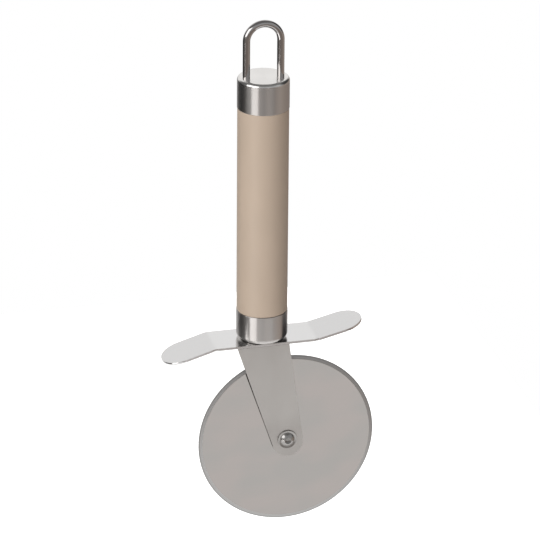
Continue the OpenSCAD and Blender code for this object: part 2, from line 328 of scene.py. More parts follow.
def make_guard_steel():
    material, tree, shader = start_material("guard_steel", GUARD_COLOUR, 1)
    waves = stretched_noise(tree, GUARD_WAVES_MM, detail=1)
    hairs = stretched_noise(tree, GUARD_HAIRS_MM)
    tilt_surface(tree, shader, (waves, GUARD_WAVE_DEPTH), (hairs, GUARD_HAIR_DEPTH))
    vary_roughness(tree, shader, hairs, *GUARD_ROUGHNESS)
    return material


guard_steel = make_guard_steel()
print("made", guard_steel.name, "with roughness", GUARD_ROUGHNESS)

# %% [markdown]
# ## Satin sheet
# The arm keeps the fine satin of the rolled sheet that it was pressed from. Its grain runs along
# the arm. It mirrors nothing clearly and shows one even grey. Its rims were sheared by the press,
# which leaves them rough. Their colour is painted dark: a painted shade that stands in for the dark
# gap between the arm and the wheel. They could be a second material on some faces, but the way a
# face looks says the same: a rim faces neither the front nor the back.

# %% Satin sheet
ARM_COLOUR = (0.49, 0.468, 0.447)
RIM_PAINTED_SHADE = (0.19, 0.182, 0.174)
ARM_ROUGHNESS = (0.38, 0.45)
ARM_STRETCH = 0.3
ARM_GRAIN_MM = (0.2, 0.2, 20)
ARM_GRAIN_DEPTH = 0.003 * MM
ARM_CLOUDS_MM = (6, 6, 12)
SHEET_FACING = 0.7
RIM_FACING = 0.4


def make_arm_steel():
    material, tree, shader = start_material("arm_steel", ARM_COLOUR, 1)
    shader.inputs["Anisotropic"].default_value = ARM_STRETCH
    tilt_surface(tree, shader, (stretched_noise(tree, ARM_GRAIN_MM), ARM_GRAIN_DEPTH))
    vary_roughness(tree, shader, stretched_noise(tree, ARM_CLOUDS_MM), *ARM_ROUGHNESS)
    facing = calculate(tree, "ABSOLUTE", coordinate(tree, "Y", "Normal"))
    # Painted shade: faces that point neither to the front nor to the back get the dark rim colour.
    rim_painted_shade_mask = spread(tree, facing, SHEET_FACING, RIM_FACING)
    tree.links.new(mix(tree, rim_painted_shade_mask, ARM_COLOUR, RIM_PAINTED_SHADE), shader.inputs["Base Color"])
    return material


arm_steel = make_arm_steel()
print("made", arm_steel.name, "with roughness", ARM_ROUGHNESS)

# %% [markdown]
# ## Ground blade
# A blade is ground flat while it spins, so its lines are rings round the axle. Noise makes rings
# when the only coordinate that changes fast is the distance from the axle. That distance comes from
# the Object coordinates, with the axle moved to zero first. The face is nearly a mirror, with large
# faint smears. The slanting band at the rim was ground again on a coarser stone, so it is duller.
# A darker line is painted at the very edge: a painted shade for the edge's dark outline.

# %% Where the blade is ground
BEVEL_WIDTH = 1.5 * MM
PAINTED_EDGE_WIDTH = 0.45 * MM

axle_joint = next(joint for joint in frame["joints"] if joint["name"] == "wheel_spin")
AXLE = Vector(axle_joint["pos_m"])
wheel_low, wheel_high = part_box("cutting_wheel")
wheel_radius = (wheel_high.z - wheel_low.z) / 2
SLANT_FROM = wheel_radius - BEVEL_WIDTH
PAINTED_EDGE_FROM = wheel_radius - PAINTED_EDGE_WIDTH


def distance_from_axle(tree):
    """How far the place is from the axle's line, in metres."""
    moved = add_node(tree, "Mapping", inputs={"Vector": object_place(tree), "Location": -AXLE})
    flat = add_node(tree, "VectorMath", {"operation": "MULTIPLY"}, {0: moved.outputs[0], 1: (1, 0, 1)})
    return add_node(tree, "VectorMath", {"operation": "LENGTH"}, {0: flat.outputs[0]}).outputs["Value"]


def beyond(tree, radius):
    """1 where the place is further than this from the axle, and 0 elsewhere."""
    return calculate(tree, "GREATER_THAN", distance_from_axle(tree), radius)


def ring_noise(tree, ring_width):
    """Noise that changes only with the distance from the axle."""
    rings = calculate(tree, "DIVIDE", distance_from_axle(tree), ring_width)
    return add_node(tree, "TexNoise", {"noise_dimensions": "1D"},
                    {"W": rings, "Scale": 1, "Detail": 3}).outputs[0]


print("the blade slants from", round(SLANT_FROM / MM, 2), "to", round(wheel_radius / MM, 2), "mm")

# %% Blade steel
BLADE_WARM = (0.438, 0.404, 0.384)
BLADE_COOL = (0.412, 0.394, 0.376)
BLADE_ROUGHNESS = (0.06, 0.08)
GROUND_COLOUR = (0.49, 0.481, 0.472)
GROUND_ROUGHNESS = 0.5
PAINTED_EDGE_SHADE = (0.36, 0.354, 0.348)
FINE_RING = 0.16 * MM
FINE_RING_DEPTH = 0.001 * MM
BROAD_RING = 1.8 * MM
BLADE_CLOUDS_MM = (9, 9, 9)
BLADE_SMEARS_MM = (20, 20, 12)
SMEARS_FROM = 0.38
SMEARS_TO = 0.62


def make_blade_steel():
    material, tree, shader = start_material("blade_steel", BLADE_WARM, 1)
    tilt_surface(tree, shader, (ring_noise(tree, FINE_RING), FINE_RING_DEPTH))
    slanting = beyond(tree, SLANT_FROM)
    smears = stretched_noise(tree, BLADE_SMEARS_MM, detail=1)
    face = mix(tree, spread(tree, smears, SMEARS_FROM, SMEARS_TO), BLADE_WARM, BLADE_COOL)
    ground = mix(tree, slanting, face, GROUND_COLOUR)
    # Painted shade: the last strip at the very edge gets a darker colour.
    with_painted_edge = mix(tree, beyond(tree, PAINTED_EDGE_FROM), ground, PAINTED_EDGE_SHADE)
    tree.links.new(with_painted_edge, shader.inputs["Base Color"])
    both = calculate(tree, "ADD", ring_noise(tree, BROAD_RING), stretched_noise(tree, BLADE_CLOUDS_MM))
    average = calculate(tree, "MULTIPLY", both, 0.5)
    polished = spread(tree, average, NOISE_LOW, NOISE_HIGH, *BLADE_ROUGHNESS)
    rough = mix(tree, slanting, polished, GROUND_ROUGHNESS, "FLOAT")
    tree.links.new(rough, shader.inputs["Roughness"])
    return material


blade_steel = make_blade_steel()
print("made", blade_steel.name, "with rings round", [round(v / MM, 2) for v in AXLE])

# %% [markdown]
# ## Rivet steel, spacers and hidden steel
# The rivet's dome and its washer carry rings from the spinning tool. The pit in the middle of the
# dome is painted darker: a painted shade of the recess. The two spacers beside the wheel are natural
# white nylon. The rod and the plate inside the handle never show, but they keep an honest plain
# finish, because the model can be taken apart.

# %% Rivet steel
RIVET_COLOUR = (0.42, 0.405, 0.39)
RIVET_ROUGHNESS = (0.24, 0.3)
RIVET_RING = 0.12 * MM
RIVET_RING_DEPTH = 0.0015 * MM
PIT_PAINTED_SHADE = (0.27, 0.26, 0.25)
PIT_RADIUS = 1.35 * MM


def make_rivet_steel():
    material, tree, shader = start_material("rivet_steel", RIVET_COLOUR, 1)
    rings = ring_noise(tree, RIVET_RING)
    tilt_surface(tree, shader, (rings, RIVET_RING_DEPTH))
    vary_roughness(tree, shader, rings, *RIVET_ROUGHNESS)
    # Painted shade: the pit in the middle of the front dome gets a darker colour, and the rear head
    # behind keeps the plain one.
    behind = calculate(tree, "GREATER_THAN", coordinate(tree, "Y"), 0)
    outside_painted_pit = calculate(tree, "MAXIMUM", beyond(tree, PIT_RADIUS), behind)
    tree.links.new(mix(tree, outside_painted_pit, PIT_PAINTED_SHADE, RIVET_COLOUR), shader.inputs["Base Color"])
    return material


rivet_steel = make_rivet_steel()
print("made", rivet_steel.name, "with a dull mark", round(2 * PIT_RADIUS / MM, 1), "mm across")

# %% Nylon and plain steel
NYLON_DARK = (0.73, 0.72, 0.68)
NYLON_LIGHT = (0.77, 0.76, 0.72)
NYLON_ROUGHNESS = 0.45
NYLON_SKIN_MM = (0.4, 0.4, 0.4)
PLAIN_COLOUR = (0.5, 0.49, 0.48)
PLAIN_ROUGHNESS = (0.35, 0.5)
LATHE_LINES_MM = (10, 10, 0.2)
SKIN_DEPTH = 0.004 * MM


def make_white_nylon():
    material, tree, shader = start_material("white_nylon", NYLON_LIGHT, 0, NYLON_ROUGHNESS)
    skin = stretched_noise(tree, NYLON_SKIN_MM)
    vary_colour(tree, shader, skin, NYLON_DARK, NYLON_LIGHT)
    tilt_surface(tree, shader, (skin, SKIN_DEPTH))
    return material


def make_plain_steel():
    material, tree, shader = start_material("plain_steel", PLAIN_COLOUR, 1)
    lathe = stretched_noise(tree, LATHE_LINES_MM)
    tilt_surface(tree, shader, (lathe, SKIN_DEPTH))
    vary_roughness(tree, shader, lathe, *PLAIN_ROUGHNESS)
    return material


white_nylon = make_white_nylon()
plain_steel = make_plain_steel()
for node_name, finish in (("loop_plate", plain_steel), ("tie_rod", plain_steel),
                          ("front_spacer", white_nylon), ("rear_spacer", white_nylon)):
    frame["nodes"][node_name].material_slots[0].material = finish
    print(node_name, "gets", finish.name)

# %% [markdown]
# ## From a bmesh to a piece
# Every new piece goes through the same door: its mesh becomes an object, it gets its finish, it
# rides on its body and it says which node of the model it stands for. Faces are shaded smooth, and
# the Weighted Normal modifier lets the large faces set the shading, so flat sheet stays flat and
# only its softened edges roll over.

# %% Helper for pieces
SHARP_FROM = math.radians(40)


def finish_piece(name, shape, material, body, node):
    """Makes an object of a bmesh, dresses it and puts it on its body in place of a node."""
    mesh = bpy.data.meshes.new(name)
    shape.to_mesh(mesh)
    shape.free()
    mesh.materials.append(material)
    mesh.shade_smooth()
    mesh.set_sharp_from_angle(angle=SHARP_FROM)
    piece = bpy.data.objects.new(name, mesh)
    scene.collection.objects.link(piece)
    weighting = piece.modifiers.new("weighted normals", "WEIGHTED_NORMAL")
    weighting.keep_sharp = True
    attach(piece, body)
    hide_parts(node)
    print(name, "has", len(mesh.polygons), "faces and stands for", node)
    return piece


# %% [markdown]
# ## Turned shapes
# The cap, collar, grip, rivet, washer and wheel are all round. On a lathe they would be one profile
# and one turn, and bmesh's spin does the same: a few corners, joined by edges, go once round the
# axis. The corners start sharp. Once the shape is closed, each ring of edges that is round on the
# real piece is beveled to its own radius.

# %% Helpers for turned shapes
TURN_STEPS = 128
UP = (0, 0, 1)
ACROSS = (0, 1, 0)
MIDDLE = Vector((0, 0, 0))


def spin_profile(corners, axis, centre=MIDDLE, steps=TURN_STEPS):
    """Turns a closed profile of (distance from the axis, place along it) once round the axis."""
    shape = bmesh.new()
    along = Vector(axis)
    across = Vector((1, 0, 0))
    verts = [shape.verts.new(centre + across * radius + along * height) for radius, height in corners]
    for first, second in zip(verts, verts[1:] + verts[:1]):
        shape.edges.new((first, second))
    bmesh.ops.spin(shape, geom=verts + shape.edges[:], cent=centre, axis=along,
                   angle=FULL_TURN, steps=steps, use_merge=True)
    bmesh.ops.remove_doubles(shape, verts=shape.verts, dist=TINY / 10)
    loose = [face for face in shape.faces if face.calc_area() == 0]
    bmesh.ops.delete(shape, geom=loose, context="FACES")
    bmesh.ops.recalc_face_normals(shape, faces=shape.faces)
    return shape


def ring_edges(shape, axis, centre, radius, height):
    """The edges that lie on one ring of a turned shape."""
    along = Vector(axis)
    close = 2 * TINY

    def on_ring(vert):
        offset = vert.co - centre
        lift = offset.dot(along)
        return abs(lift - height) < close and abs((offset - along * lift).length - radius) < close

    return [edge for edge in shape.edges if all(on_ring(vert) for vert in edge.verts)]


def round_ring(shape, axis, centre, radius, height, edge_round, segments):
    """Rounds one ring of edges."""
    edges = ring_edges(shape, axis, centre, radius, height)
    bmesh.ops.bevel(shape, geom=edges, offset=edge_round, offset_type="OFFSET", affect="EDGES",
                    segments=segments, profile=0.5, material=-1, clamp_overlap=True)


# %% [markdown]
# ## The cap and the collar
# Both are cups of thin sheet, pushed over the ends of the grip. The cap's edge is rounded tightly
# and the collar's lower edge softly. The inside is kept too, so that the sheet shows its thickness
# at the rim. The rim itself has a tiny round, which catches a line of light at the seam.

# %% Cap and collar
SHEET = 0.6 * MM
RIM_ROUND = 0.15 * MM
CAP_ROUND = 1.4 * MM
COLLAR_ROUND = 2.2 * MM


def drawn_cup(name, node, closed, open_end, edge_round):
    """A cup with its closed end at one height and its open rim at another."""
    low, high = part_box(node)
    radius = (high.x - low.x) / 2
    inner = radius - SHEET
    floor = closed + math.copysign(SHEET, open_end - closed)
    shape = spin_profile([(0, closed), (radius, closed), (radius, open_end), (inner, open_end),
                          (inner, floor), (0, floor)], UP)
    round_ring(shape, UP, MIDDLE, radius, closed, edge_round, segments=10)
    round_ring(shape, UP, MIDDLE, inner, floor, edge_round - SHEET, segments=6)
    round_ring(shape, UP, MIDDLE, radius, open_end, RIM_ROUND, segments=3)
    return finish_piece(name, shape, satin_steel, "handle", node)


cap_low, cap_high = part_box("top_cap")
collar_low, collar_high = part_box("collar")
cap_shell = drawn_cup("cap_shell", "top_cap", cap_high.z, cap_low.z, CAP_ROUND)
collar_shell = drawn_cup("collar_shell", "collar", collar_low.z, collar_high.z, COLLAR_ROUND)

# %% [markdown]
# ## The grip
# One straight bar of plastic shows between the metal ends. Its shoulders are softened, so a fine
# seam shows at each end. Under the metal it goes on as a thinner spigot, which carries the cup.

# %% Grip
SHOULDER_ROUND = 0.3 * MM
SPIGOT_GAP = 0.05 * MM
BORE_RADIUS = 7.15 * MM

grip_low, grip_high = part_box("grip")
grip_radius = (grip_high.x - grip_low.x) / 2
spigot_radius = (cap_high.x - cap_low.x) / 2 - SHEET - SPIGOT_GAP
spigot_foot = spigot_radius - COLLAR_ROUND
shape = spin_profile([(BORE_RADIUS, grip_low.z), (spigot_foot, grip_low.z),
                      (spigot_radius, grip_low.z + COLLAR_ROUND), (spigot_radius, collar_high.z),
                      (grip_radius, collar_high.z), (grip_radius, cap_low.z),
                      (spigot_radius, cap_low.z), (spigot_radius, grip_high.z),
                      (BORE_RADIUS, grip_high.z)], UP)
for shoulder in (collar_high.z, cap_low.z):
    round_ring(shape, UP, MIDDLE, grip_radius, shoulder, SHOULDER_ROUND, segments=4)
grip_bar = finish_piece("grip_bar", shape, grip_plastic, "handle", "grip")

# %% [markdown]
# ## The hanging loop
# A length of wire, bent over a round post into an upside-down U. The wire's own circle is drawn at
# the foot of one leg, pulled up to where the bend starts, spun half a turn about the post and
# pulled down again. That is how a bender makes it, and the tube stays evenly round all the way.

# %% Helper for wire
def pull_end(shape, face, move):
    """Pulls a closed end of the tube along, and returns the new end."""
    grown = bmesh.ops.extrude_face_region(shape, geom=[face])["geom"]
    end = next(item for item in grown if isinstance(item, bmesh.types.BMFace))
    bmesh.ops.translate(shape, verts=end.verts[:], vec=move)
    return end


# %% Hanging loop
WIRE_SIDES = 40
BEND_STEPS = 48

loop_low, loop_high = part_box("hang_loop")
wire_radius = (loop_high.y - loop_low.y) / 2
leg_x = (loop_high.x - loop_low.x) / 2 - wire_radius
post_z = loop_high.z - wire_radius - leg_x

shape = bmesh.new()
foot = Matrix.Translation((-leg_x, 0, loop_low.z))
bmesh.ops.create_circle(shape, cap_ends=True, segments=WIRE_SIDES, radius=wire_radius, matrix=foot)
first_end = shape.faces[:][0]
bend_start = pull_end(shape, first_end, Vector((0, 0, post_z - loop_low.z)))
swept = bmesh.ops.spin(shape, geom=[bend_start], cent=(0, 0, post_z), axis=ACROSS,
                       angle=HALF_TURN, steps=BEND_STEPS)["geom_last"]
bend_end = next(item for item in swept if isinstance(item, bmesh.types.BMFace))
pull_end(shape, bend_end, Vector((0, 0, loop_low.z - post_z)))
bmesh.ops.recalc_face_normals(shape, faces=shape.faces)
wire_loop = finish_piece("wire_loop", shape, polished_wire, "handle", "hang_loop")

# %% [markdown]
# ## Cutting a sheet blank
# The guard and the arm are stamped from sheet. A blank is an outline with its holes, so only edges
# are drawn at first: straight runs by hand, and each round end by spinning one vertex. A fill then
# closes the outline and leaves the holes open. A press folds the blank in fine creases, one after
# another from the outside in, because each fold carries with it all that lies beyond. At the end
# the sheet gets its thickness, and the rims are softened as a tumbler softens them.

# %% Helpers for a blank
END_STEPS = 48


def spin_vertex(shape, start, centre, axis, angle, steps):
    """Adds an arc of edges from start, and returns its two end vertices."""
    first = shape.verts.new(start)
    swept = bmesh.ops.spin(shape, geom=[first], cent=centre, axis=axis, angle=angle, steps=steps)
    last = next(item for item in swept["geom_last"] if isinstance(item, bmesh.types.BMVert))
    return first, last


def punch_hole(shape, centre, radius, turn, sides=END_STEPS):
    """Adds the outline of a round hole to a blank."""
    place = Matrix.Translation(centre) @ turn
    bmesh.ops.create_circle(shape, cap_ends=False, segments=sides, radius=radius, matrix=place)


def fill_blank(shape):
    """Closes the outline with faces, and leaves the holes open."""
    bmesh.ops.triangle_fill(shape, use_beauty=True, edges=shape.edges[:])


# %% Helpers for folding
def crease(shape, point, direction):
    """Cuts the blank along a line, so that it can fold there."""
    geometry = shape.verts[:] + shape.edges[:] + shape.faces[:]
    bmesh.ops.bisect_plane(shape, geom=geometry, plane_co=point, plane_no=direction, dist=TINY)


def fold(shape, first_line, outward, length, angle, axis, steps):
    """Folds what lies beyond first_line by an angle, in fine creases over a length of sheet."""
    outward = Vector(outward)
    lines = [first_line + outward * length * (step + 0.5) / steps for step in range(steps)]
    for line in lines:
        crease(shape, line, outward)
    reach = {vert: vert.co.dot(outward) for vert in shape.verts}
    for line in reversed(lines):
        edge_of_fold = line.dot(outward) + 2 * TINY
        moving = [vert for vert in shape.verts if reach[vert] > edge_of_fold]
        turn = Matrix.Rotation(angle / steps, 3, axis)
        bmesh.ops.rotate(shape, verts=moving, cent=line, matrix=turn)


# %% Helper for thickness
RIM_ANGLE = math.radians(60)


def thicken(shape, thickness, side, edge_round, segments=3):
    """Gives a folded blank its thickness, half to each side, and rounds its rims."""
    bmesh.ops.recalc_face_normals(shape, faces=shape.faces)
    if shape.faces[:][0].normal.dot(side) < 0:
        bmesh.ops.reverse_faces(shape, faces=shape.faces)
    for face in shape.faces:
        face.normal_update()
    for vert in shape.verts:
        vert.normal_update()
    lift = {vert: vert.normal.copy() for vert in shape.verts}
    for vert, normal in lift.items():
        vert.co += normal * thickness / 2
    bmesh.ops.solidify(shape, geom=shape.faces[:], thickness=thickness)
    bmesh.ops.recalc_face_normals(shape, faces=shape.faces)
    rims = [edge for edge in shape.edges if edge.calc_face_angle(0) > RIM_ANGLE]
    bmesh.ops.bevel(shape, geom=rims, offset=edge_round, offset_type="OFFSET", affect="EDGES",
                    segments=segments, profile=0.5, material=-1, clamp_overlap=True)


# %% [markdown]
# ## The finger guard
# One strip with round ends. It keeps the thumb off the wheel. Its middle is clamped flat under the
# collar, the right wing is bent up and the left one down. The blank is as long as the strip was
# before bending, so that the wings end where the real ones do.

# %% Sizes of the guard
GUARD_SHEET = 0.9 * MM
GUARD_FLAT = 38 * MM
WING_RISE = math.radians(13.5)
WING_FALL = math.radians(16.5)
WING_BEND_RADIUS = 8 * MM
WING_CREASES = 10
GUARD_ROUND = 0.12 * MM
ROD_HOLE = 1.55 * MM

guard_low, guard_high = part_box("finger_guard")
guard_half_width = (guard_high.y - guard_low.y) / 2
guard_top = collar_low.z
guard_mid = guard_top - GUARD_SHEET / 2
bend_mid_radius = WING_BEND_RADIUS + GUARD_SHEET / 2


def wing_length(tilt):
    """Length of sheet from the start of a bend to the centre of the wing's round end."""
    outer = WING_BEND_RADIUS + GUARD_SHEET
    reach = (guard_high.x - guard_low.x) / 2 - GUARD_FLAT / 2 - outer * math.sin(tilt)
    return bend_mid_radius * tilt + reach / math.cos(tilt) - guard_half_width


print("wings in mm:", [round(wing_length(tilt) / MM, 2) for tilt in (WING_RISE, WING_FALL)])


# %% Finger guard
def make_guard():
    shape = bmesh.new()
    ends = []
    for side, tilt in ((1, WING_RISE), (-1, WING_FALL)):
        centre = Vector((side * (GUARD_FLAT / 2 + wing_length(tilt)), 0, guard_mid))
        start = centre + Vector((0, -guard_half_width, 0))
        ends.append(spin_vertex(shape, start, centre, UP, side * HALF_TURN, END_STEPS))
    for first, second in zip(*ends):
        shape.edges.new((first, second))
    punch_hole(shape, (0, 0, guard_mid), ROD_HOLE, Matrix.Identity(4))
    fill_blank(shape)
    for side, tilt in ((1, WING_RISE), (-1, WING_FALL)):
        fold(shape, Vector((side * GUARD_FLAT / 2, 0, guard_mid)), (side, 0, 0),
             bend_mid_radius * tilt, -tilt, "Y", WING_CREASES)
    thicken(shape, GUARD_SHEET, Vector(UP), GUARD_ROUND)
    return finish_piece("guard_strip", shape, guard_steel, "handle", "finger_guard")


guard_strip = make_guard()

# %% [markdown]
# ## The arm
# A tapered strip stands in front of the wheel and leans to one side. At its top it turns back
# under the guard as a foot. From there it slants back to the wheel, and near the axle it straightens
# into a pad that lies close beside it. Both bends could be folded, but the lower one is so slight
# that pressing says it better: each part of the blank moves straight back and keeps its height.

# %% Sizes of the arm
ARM_SHEET = 1.2 * MM
ARM_START = -0.55 * MM
ARM_LEAN = math.radians(13.55)
ARM_TAPER = math.radians(5)
ARM_LENGTH = 44.95 * MM
ARM_END_RADIUS = 6.05 * MM
ARM_END_DROP = 1.25 * MM
ARM_BEND_RADIUS = 0.8 * MM
PAD_RISE = 4.6 * MM
PAD_BEND = 7 * MM
PAD_CREASES = 12
ARM_GAP = 2.8 * MM
PAD_GAP = 0.5 * MM
FOOT_ROUND = 2.5 * MM
FOOT_ROUND_STEPS = 8
SHANK_HOLE = 2.05 * MM
FOOT_CREASES = 8
ARM_ROUND = 0.1 * MM

arm_low, arm_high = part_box("wheel_arm")
arm_mid_y = arm_low.y + ARM_SHEET / 2
guard_base = guard_top - GUARD_SHEET
bend_z = guard_base - ARM_SHEET - ARM_BEND_RADIUS
foot_bend_mid = ARM_BEND_RADIUS + ARM_SHEET / 2
foot_arc = foot_bend_mid * QUARTER_TURN
foot_straight = arm_high.y - (arm_mid_y + foot_bend_mid)
end_length = ARM_LENGTH + ARM_END_DROP
pad_top = AXLE.z + PAD_RISE
print("the arm leans", round(math.degrees(ARM_LEAN), 2), "degrees and its pad ends at",
      round(pad_top / MM, 2), "mm")


# %% Helpers for the arm
def arm_edge_x(side, drop):
    """x of the arm's right (1) or left (-1) edge at a drop below the guard."""
    angle = ARM_LEAN - side * ARM_TAPER
    start = side * (ARM_END_RADIUS + end_length * math.sin(ARM_TAPER))
    return ARM_START + (start + drop * math.sin(angle)) / math.cos(angle)


def sheet_shift(height):
    """How far back the sheet lies at a height above the pad: level, then curved, then slanting."""
    slope = (ARM_GAP - PAD_GAP) / (bend_z - pad_top - PAD_BEND / 2)
    if height <= 0:
        forward = 0
    elif height < PAD_BEND:
        forward = slope * height**2 / (2 * PAD_BEND)
    else:
        forward = slope * (min(height, bend_z - pad_top) - PAD_BEND / 2)
    return ARM_GAP - PAD_GAP - forward


# %% Arm
def make_arm():
    shape = bmesh.new()
    end_centre = Vector((ARM_START + end_length * math.sin(ARM_LEAN), arm_mid_y,
                         guard_base - end_length * math.cos(ARM_LEAN)))
    left_angle = ARM_LEAN + ARM_TAPER
    right_angle = ARM_LEAN - ARM_TAPER
    start = end_centre + ARM_END_RADIUS * Vector((-math.cos(left_angle), 0, -math.sin(left_angle)))
    sweep = HALF_TURN - 2 * ARM_TAPER
    left, right = spin_vertex(shape, start, end_centre, ACROSS, -sweep, END_STEPS)
    edge_drop = guard_base - bend_z
    foot_top = bend_z + foot_arc + foot_straight
    path = [right]
    for x, z in ((arm_edge_x(1, edge_drop), bend_z), (arm_edge_x(1, edge_drop), foot_top),
                 (arm_edge_x(-1, edge_drop), foot_top), (arm_edge_x(-1, edge_drop), bend_z)):
        path.append(shape.verts.new((x, arm_mid_y, z)))
    for first, second in zip(path, path[1:] + [left]):
        shape.edges.new((first, second))
    bmesh.ops.bevel(shape, geom=path[2:4], offset=FOOT_ROUND, offset_type="OFFSET", affect="VERTICES",
                    segments=FOOT_ROUND_STEPS, profile=0.5, material=-1)
    upright = Matrix.Rotation(QUARTER_TURN, 4, "X")
    hole_z = bend_z + foot_arc - (arm_mid_y + foot_bend_mid)
    punch_hole(shape, (0, arm_mid_y, hole_z), ROD_HOLE, upright)
    punch_hole(shape, (AXLE.x, arm_mid_y, AXLE.z), SHANK_HOLE, upright)
    fill_blank(shape)
    for step in range(PAD_CREASES + 1):
        crease(shape, Vector((0, 0, pad_top + PAD_BEND * step / PAD_CREASES)), UP)
    crease(shape, Vector((0, 0, bend_z)), UP)
    for vert in shape.verts:
        vert.co.y += sheet_shift(vert.co.z - pad_top)
    fold(shape, Vector((0, arm_mid_y, bend_z)), UP, foot_arc, -QUARTER_TURN, "X", FOOT_CREASES)
    thicken(shape, ARM_SHEET, Vector((0, -1, 0)), ARM_ROUND)
    return finish_piece("arm_strip", shape, arm_steel, "handle", "wheel_arm")


arm_strip = make_arm()

# %% [markdown]
# ## The cutting wheel
# A thin disc, ground at a slant from both sides to an edge in the middle of its thickness. Its
# profile has six corners. Many steps keep its outline round, since the wheel is the largest thing
# in the picture. The corner where the slant begins is barely softened: there the steel catches a
# fine line of light.

# %% Cutting wheel
WHEEL_STEPS = 256
EDGE_LEFT = 0.1 * MM
BORE_GAP = 0.05 * MM
SHOULDER_RADIUS = 3 * MM
GRIND_ROUND = 0.08 * MM

wheel_half = (wheel_high.y - wheel_low.y) / 2
bore = SHOULDER_RADIUS + BORE_GAP
shape = spin_profile([(bore, -wheel_half), (SLANT_FROM, -wheel_half), (wheel_radius, -EDGE_LEFT / 2),
                      (wheel_radius, EDGE_LEFT / 2), (SLANT_FROM, wheel_half), (bore, wheel_half)],
                     ACROSS, AXLE, WHEEL_STEPS)
for face_y in (-wheel_half, wheel_half):
    round_ring(shape, ACROSS, AXLE, SLANT_FROM, face_y, GRIND_ROUND, segments=2)
wheel_disc = finish_piece("wheel_disc", shape, blade_steel, "wheel", "cutting_wheel")
print("wheel is", round(2 * wheel_radius / MM, 2), "mm across")

# %% [markdown]
# ## The rivet
# The wheel turns on a shouldered rivet. Its rear head is flat, and its front end was spun over
# the washer into a dome, with a wide shallow pit where the tool's nose turned. The profile's round
# parts are arcs, so single vertices are spun about the centres of the dome and the pit.

# %% Sizes of the rivet
DOME_RADIUS = 2.75 * MM
DOME_HEIGHT = 1.3 * MM
PIT_DEPTH = 0.4 * MM
SHANK_RADIUS = 2 * MM
HEAD_THICK = 1.2 * MM
HEAD_ROUND = 0.5 * MM
DOME_STEPS = 12
PIT_STEPS = 6
RIVET_STEPS = 64

rivet_low, rivet_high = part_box("axle_rivet")
washer_low, washer_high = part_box("front_washer")


def ball_radius(radius, height):
    """Radius of the ball whose cap has this radius and height."""
    return (radius**2 + height**2) / (2 * height)


dome_ball = ball_radius(DOME_RADIUS, DOME_HEIGHT)
pit_ball = ball_radius(PIT_RADIUS, PIT_DEPTH)
dome_centre = AXLE + Vector((0, washer_low.y - DOME_HEIGHT + dome_ball, 0))
pit_edge_y = dome_centre.y - math.sqrt(dome_ball**2 - PIT_RADIUS**2)
pit_centre = AXLE + Vector((0, pit_edge_y + PIT_DEPTH - pit_ball, 0))
print("ball radii of dome and pit in mm:", round(dome_ball / MM, 2), round(pit_ball / MM, 2))


# %% Rivet
def draw_dome(shape):
    """Adds the arc of the dome, and returns its outer and inner end."""
    outer_angle = math.asin(DOME_RADIUS / dome_ball)
    inner_angle = math.asin(PIT_RADIUS / dome_ball)
    rim = dome_centre + dome_ball * Vector((math.sin(outer_angle), -math.cos(outer_angle), 0))
    return spin_vertex(shape, rim, dome_centre, UP, inner_angle - outer_angle, DOME_STEPS)


def draw_pit(shape):
    """Adds the arc of the pit, and returns its middle and outer end."""
    bottom = pit_centre + Vector((0, pit_ball, 0))
    return spin_vertex(shape, bottom, pit_centre, UP, -math.asin(PIT_RADIUS / pit_ball), PIT_STEPS)


def make_rivet():
    head_radius = (rivet_high.x - rivet_low.x) / 2
    head_face = rivet_high.y - HEAD_THICK
    pad_back = -wheel_half - PAD_GAP
    shape = bmesh.new()
    dome_start, dome_end = draw_dome(shape)
    pit_start, pit_end = draw_pit(shape)
    path = [shape.verts.new(AXLE + Vector((x, y, 0))) for x, y in (
        (SHANK_RADIUS, washer_low.y), (SHANK_RADIUS, pad_back), (SHOULDER_RADIUS, pad_back),
        (SHOULDER_RADIUS, head_face), (head_radius, head_face), (head_radius, rivet_high.y),
        (0, rivet_high.y))]
    for first, second in zip([dome_start] + path, path + [pit_start]):
        shape.edges.new((first, second))
    shape.edges.new((pit_end, dome_end))
    bmesh.ops.spin(shape, geom=shape.verts[:] + shape.edges[:], cent=AXLE, axis=ACROSS,
                   angle=FULL_TURN, steps=RIVET_STEPS, use_merge=True)
    bmesh.ops.remove_doubles(shape, verts=shape.verts, dist=TINY)
    bmesh.ops.recalc_face_normals(shape, faces=shape.faces)
    round_ring(shape, ACROSS, AXLE, head_radius, rivet_high.y, HEAD_ROUND, segments=5)
    return finish_piece("dome_rivet", shape, rivet_steel, "handle", "axle_rivet")


dome_rivet = make_rivet()

# %% [markdown]
# ## The washer
# A small ring lies between the dome and the arm, and spreads the load when the dome is spun over.
# Its face is dished a little round the dome. The dish is what shows: its lower half faces up and
# mirrors the dark of the room as a thin crescent, which a flat ring could never do. So the profile
# that is turned round the axle has one slanting edge.

# %% Washer
WASHER_ROUND = 0.08 * MM
DISH_DEPTH = 0.22 * MM
DISH_START = 0.05 * MM
WASHER_RIM = 0.25 * MM
WASHER_STEPS = 96

washer_radius = (washer_high.x - washer_low.x) / 2
washer_bore = SHANK_RADIUS + BORE_GAP
dish_inner = DOME_RADIUS + DISH_START
shape = spin_profile([(washer_bore, washer_low.y), (dish_inner, washer_low.y),
                      (dish_inner, washer_low.y + DISH_DEPTH), (washer_radius - WASHER_RIM, washer_low.y),
                      (washer_radius, washer_low.y), (washer_radius, washer_high.y),
                      (washer_bore, washer_high.y)], ACROSS, AXLE, WASHER_STEPS)
for face_y in (washer_low.y, washer_high.y):
    round_ring(shape, ACROSS, AXLE, washer_radius, face_y, WASHER_ROUND, segments=3)
dished_washer = finish_piece("dished_washer", shape, rivet_steel, "handle", "front_washer")

